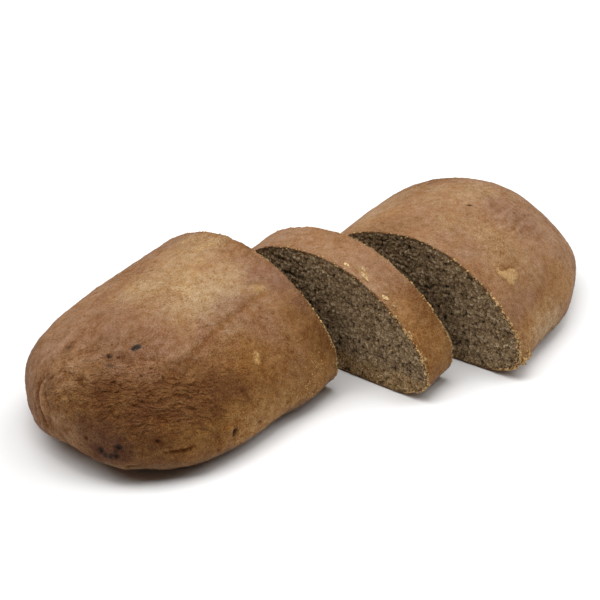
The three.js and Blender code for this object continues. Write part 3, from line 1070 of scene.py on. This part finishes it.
# The short end, smooth and light, with a blister by its cut.
rightChunk = {
    "span": (loaf["cuts"][1], halfLength), "turn": 7, "slide": (31.9, -65), "seed": 37,
    "reliefs": [
        ((28, -58, 8), 16, (-1.4, -2, 0)),  # near foot beside the cut
        ((75, -62, 5), 18, (0.5, -2.5, 0)),  # lip where the side meets the floor
        ((105, -33, 42), 16, (-0.2, 1.5, 0)),  # hollow in the shoulder
        ((118, -50, 12), 18, (2, 1.1, 0)),  # round corner of the tip
        ((24, -55, 0), 10, (0, 0.5, 1.8)),  # underside, turned up at the near edge
        ((89, 20, 55), 22, (0.1, 0.4, 1)),  # crown before the tip
        ((60, 40, 50), 16, (0, -0.5, -0.5)),  # far shoulder
    ],
    "wrinkles": {"browWrinkles": [([(74, -27, 53), (92, -26, 51)], 12, 0.6)]},
    "creases": [
        ([(67.2, -6.8, 61.8), (68.7, -8.1, 61.5)], 0.5, 0.7),
        ([(59, 12, 61.8), (62.5, 10.6, 61.7)], 0.3, 0.3),
        ([(55.4, -18.9, 59.5), (56.4, -24, 57.5), (57, -28.3, 55.3)], 0.5, -0.25),
    ],
    "beadedCreases": [],
    "pits": [((73, -31, 51.5), 0.8, 0.6), ((84, -25, 53.5), 1, 0.6)],
    "blister": [
        ((39.2, -36.7, 51), 0.7), ((39.2, -38.5, 49.6), 1.1), ((39.1, -40.4, 48.2), 1.6),
        ((39.9, -42.1, 46.9), 2), ((42.5, -44, 45.4), 3.5), ((45.2, -44.7, 44.8), 3.2),
        ((41.3, -45.7, 43.7), 2.5),
    ],
    "lowCrumb": (6, 0.6), "pores": 50,
    "tones": {
        "crown": [
            ([(41, 41, 51), (63, 7, 62), (86, -28, 52), (81, -45, 40)], 30, 1),
            ([(83, -55, 28), (104, -46, 28), (118, -20, 28)], 16, 0.7),
            ([(27, -2, 63), (35, -31, 54), (39, -53, 36)], 20, 0.9),
        ],
        "amber": [
            ([(50, -41, 48), (43, -51, 39)], 14, 0.35), ([(39, -62, 21), (73, -56, 30)], 12, 0.5),
            ([(30, 58, 16), (96, 52, 14)], 10, 0.7),
        ],
        "gold": [
            ([(29, -63, 17), (56, -62, 18)], 9, 0.9), ([(64, -61, 20), (87, -57, 24)], 8, 0.5),
            ([(45, 29, 57), (35, 35, 55)], 8, 0.3),
        ],
        "creamAndSheen": [
            ([(69, 10, 61), (81, -1, 61)], 12, 0.4), ([(44, -14, 61), (55, -35, 52)], 13, 0.4),
            ([(48, 38, 51), (71, 38, 51)], 12, 0.4), ([(46, -62, 18), (58, -61, 14)], 9, 1),
        ],
        "mauve": [
            ([(36, -24, 58), (38, -17, 61)], 8, 0.4),
            ([(78, -20, 57), (86, -28, 52), (83, -35, 48)], 10, 0.6),
            ([(44, -53, 36), (31, -54, 35)], 7, 0.4),
        ],
        "deep": [
            ([(82, -26, 53.6), (76, -31, 51.4)], 5, 0.15), ([(118, 30, 22), (124, 0, 24)], 16, 0.3),
        ],
        "dusk": [],
        "flake": [([(57.4, -23, 58)], 0.9, 0.4), ([(60.4, -27, 55.6)], 0.8, 0.5)],
        "scorch": [([(67.3, -6.9, 61.8), (68.6, -8, 61.5)], 0.6, 0.8), ([(84, -24.6, 53.8)], 0.9, 0.4)],
        "dusty": [([(24, -60, 4), (60, -64, 4), (92, -58, 4), (118, -44, 9), (130, -14, 15)], 5, 0.8)],
    },
}
addPiece("right_chunk", rightChunk)

# Crumbs that the knife tore off, in mm: they cling along every cut's rim and over the crust beside it,
# thickest low on the near side. Then heaps (piece, middle, reach, count, sizes, how high) and flat chips
# of crust (piece, ends, width).
crumbs = {
    "each": 460, "size": (0.18, 0.6), "seed": 53,
    "rows": (0.1, 0.9, -1.6, 2.9),  # mm from the rim: mean, spread and limits; below 0 is on the cut
    "nearSide": ((-58, 22), 24),  # the middle of the thick stretch (y, z), and its reach
    "thin": 0.12,  # how many there are far from it, against its middle
    "lowest": 2,  # they cling this far over the board or higher
    "cutMiddle": (0, 25),  # y and z; the ones that lie on a cut lie towards it
    "heaps": [
        ("right_chunk", (27.5, -63.4, 12), 1.9, 80, (0.35, 1), 1.5),
        ("left_chunk", (-17.3, -59.9, 25), 3.2, 70, (0.15, 0.42), 0.1),
        ("left_chunk", (-24, -61.5, 14.5), 3.2, 70, (0.15, 0.42), 0.1),
    ],
    "chips": [
        ("slice", (3.1, -11.5, 61.3), (2, -15.7, 60.5), 2),
        ("slice", (7, -19, 59.5), (5.9, -22.1, 58.2), 2.1),
        ("slice", (4.7, -20.3, 59), (1.7, -27, 56), 2),
        ("slice", (1.6, -34.6, 52), (2.7, -38.4, 49.3), 2.6),
        ("slice", (2.2, -40.2, 48), (2.7, -42.1, 46.6), 1.6),
        ("slice", (-0.8, 33.6, 52.3), (-0.8, 35, 51.5), 1.1),
        ("left_chunk", (-1.7, -41.4, 47.2), (-1.7, -42.6, 46), 1.1),
        ("right_chunk", (23.2, -22.9, 58), (23.3, -24.4, 57.4), 1.2),
        ("right_chunk", (23, -46.8, 42), (22.9, -49, 39.8), 1.9),
        ("slice", (0.4, -52, 38.6), (0.2, -53, 37.4), 1.2),
        ("slice", (-0.2, -62.4, 19), (0.1, -63, 17), 1.6),
        ("slice", (0.2, -60.6, 26), (0.5, -61.2, 24), 1.4),
        ("slice", (0.6, -64, 12), (0.6, -64.4, 10), 1.5),
    ],
}


# Half the sizes and the turn of one crumb.
def crumbShape(draw, size, low, high):
    half = mix(*size, draw.uniform(0, 1) ** 2) * draw.uniform(low, high, 3)
    return half, np.linalg.qr(draw.normal(0, 1, (3, 3)))[0]


# The crumbs along one cut: each with its place, half its sizes in mm, and its turn.
def rimCrumbs(band, piece, draw):
    (nearY, nearZ), reach = crumbs["nearSide"]
    mean, spread, least, most = crumbs["rows"]
    rim = band[0]
    away = np.hypot(rim[:, 1] - nearY, rim[:, 2] - nearZ) / reach
    chance = np.where(rim[:, 2] > crumbs["lowest"], crumbs["thin"] + np.exp(-away**2), 0)
    made = []
    for index in draw.choice(len(rim), crumbs["each"], p=chance / chance.sum()):
        row = np.clip(draw.normal(mean, spread), least, most)
        below = int(max(row, 0))
        spot = mix(band[below, index], band[below + 1, index], max(row, 0) - below)
        inwards = np.array([0, *(crumbs["cutMiddle"] - rim[index, 1:])])
        spot = spot + max(-row, 0) * inwards / np.linalg.norm(inwards)
        made.append((setOut(spot, piece), *crumbShape(draw, crumbs["size"], 0.7, 1.2)))
    return made


def heapedCrumbs(draw):
    made = []
    for node, middle, reach, count, size, high in crumbs["heaps"]:
        for _ in range(count):
            place = setOut(np.array(middle) + draw.normal(0, reach, 3), pieces[node])
            _, spot, normal, _ = built[node].closest_point_on_mesh(Vector(place))
            spot = np.array(spot + normal * draw.uniform(0, high) * mm)
            made.append((spot, *crumbShape(draw, size, 0.6, 1)))
    return made


def crustChips():
    made = []
    for node, start, end, width in crumbs["chips"]:
        start, end = setOut(np.array([start, end]), pieces[node])
        _, spot, normal, _ = built[node].closest_point_on_mesh(Vector((start + end) / 2))
        across = normal.cross(Vector(end - start)).normalized()
        half = np.array([np.linalg.norm(end - start) / 2 / mm, width / 2, width * 0.2])
        turn = np.array([across.cross(normal), across, normal]).T
        made.append((np.array(spot + normal * 0.1 * width * mm), half, turn))
    return made


def addCrumbs():
    draw = np.random.default_rng(crumbs["seed"])
    ball = bmesh.new()
    bmesh.ops.create_icosphere(ball, subdivisions=1, radius=1)
    shape = np.array([vertex.co for vertex in ball.verts])
    faces = np.array([[vertex.index for vertex in face.verts] for face in ball.faces])
    ball.free()

    scattered = []
    for node, bands in rims.items():
        for band in bands:
            scattered += rimCrumbs(band, pieces[node], draw)
    bpy.context.view_layer.update()
    scattered += heapedCrumbs(draw) + crustChips()

    points = []
    for spot, half, turn in scattered:
        rough = shape * draw.uniform(0.75, 1.2, (len(shape), 1))
        points.append(spot + (rough * half) @ turn.T * mm)
    points = np.concatenate(points)
    points[:, 2] = np.maximum(points[:, 2], 0.1 * mm)
    allFaces = (faces + len(shape) * np.arange(len(scattered))[:, None, None]).reshape(-1, 3)
    mesh = bpy.data.meshes.new("loose_crumbs")
    mesh.from_pydata(points.tolist(), [], allFaces.tolist())
    for material in looseMaterials:
        mesh.materials.append(material)
    chipFaces = len(faces) * len(crumbs["chips"])
    mesh.polygons.foreach_set("material_index", [0] * (len(allFaces) - chipFaces) + [1] * chipFaces)
    piece = addObject("loose_crumbs", mesh)
    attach(piece, "root")
    print("scattered", len(scattered), "crumbs")


addCrumbs()

# Plain white paper under three softboxes, so that the loaf's contact shadows stay short: each
# softbox's bearing and height in degrees, its side in metres and its power in watts. They all stand
# at one distance from the loaf, which is in metres too, as is half the paper's side.
studio = {
    "softboxes": {
        "overhead": (0, 90, 1.4, 34),
        "left": (135, 57, 1.6, 33),
        "right": (332, 48, 2.2, 42),
    },
    "distance": 2.5, "floor": 1.3, "paper": "#f8f8f8", "paperRoughness": 0.9, "ambient": 0.03,
}


def addFloor():
    size = studio["floor"]
    corners = [(-size, -size, 0), (size, -size, 0), (size, size, 0), (-size, size, 0)]
    mesh = bpy.data.meshes.new("floor")
    mesh.from_pydata(corners, [], [(0, 1, 2, 3)])
    floor = addObject("floor", mesh)
    material, tree = newMaterial("white_paper_sweep")
    shader = addNode(tree, "BsdfPrincipled", {}, {
        "Base Color": linear(studio["paper"]), "Roughness": studio["paperRoughness"],
    })
    addNode(tree, "OutputMaterial", {}, {"Surface": shader.outputs["BSDF"]})
    mesh.materials.append(material)


def addSoftboxes():
    for name, (bearing, rise, side, power) in studio["softboxes"].items():
        light = bpy.data.lights.new(name + "_softbox", "AREA")
        light.shape, light.size, light.energy = "SQUARE", side, power
        lamp = addObject(name + "_softbox", light)
        level = studio["distance"] * math.cos(math.radians(rise))
        lamp.location = (
            level * math.cos(math.radians(bearing)),
            level * math.sin(math.radians(bearing)),
            studio["distance"] * math.sin(math.radians(rise)),
        )
        lamp.rotation_euler = (-lamp.location).to_track_quat("-Z", "Y").to_euler()


# White behind the floor where the camera sees it, and only a little light from it.
def addSurroundings():
    world = bpy.data.worlds.new("studio")
    world.use_nodes = True
    tree = world.node_tree
    seen = addNode(tree, "LightPath", {}, {})
    strength = addNode(tree, "Math", {"operation": "MULTIPLY_ADD"}, {
        0: seen.outputs["Is Camera Ray"], 1: 1 - studio["ambient"], 2: studio["ambient"],
    })
    tree.nodes["Background"].inputs["Color"].default_value = (1, 1, 1, 1)
    tree.links.new(strength.outputs[0], tree.nodes["Background"].inputs["Strength"])
    bpy.context.scene.world = world
    bpy.context.scene.view_settings.view_transform = "Standard"


addFloor()
addSoftboxes()
addSurroundings()
print("studio lit")
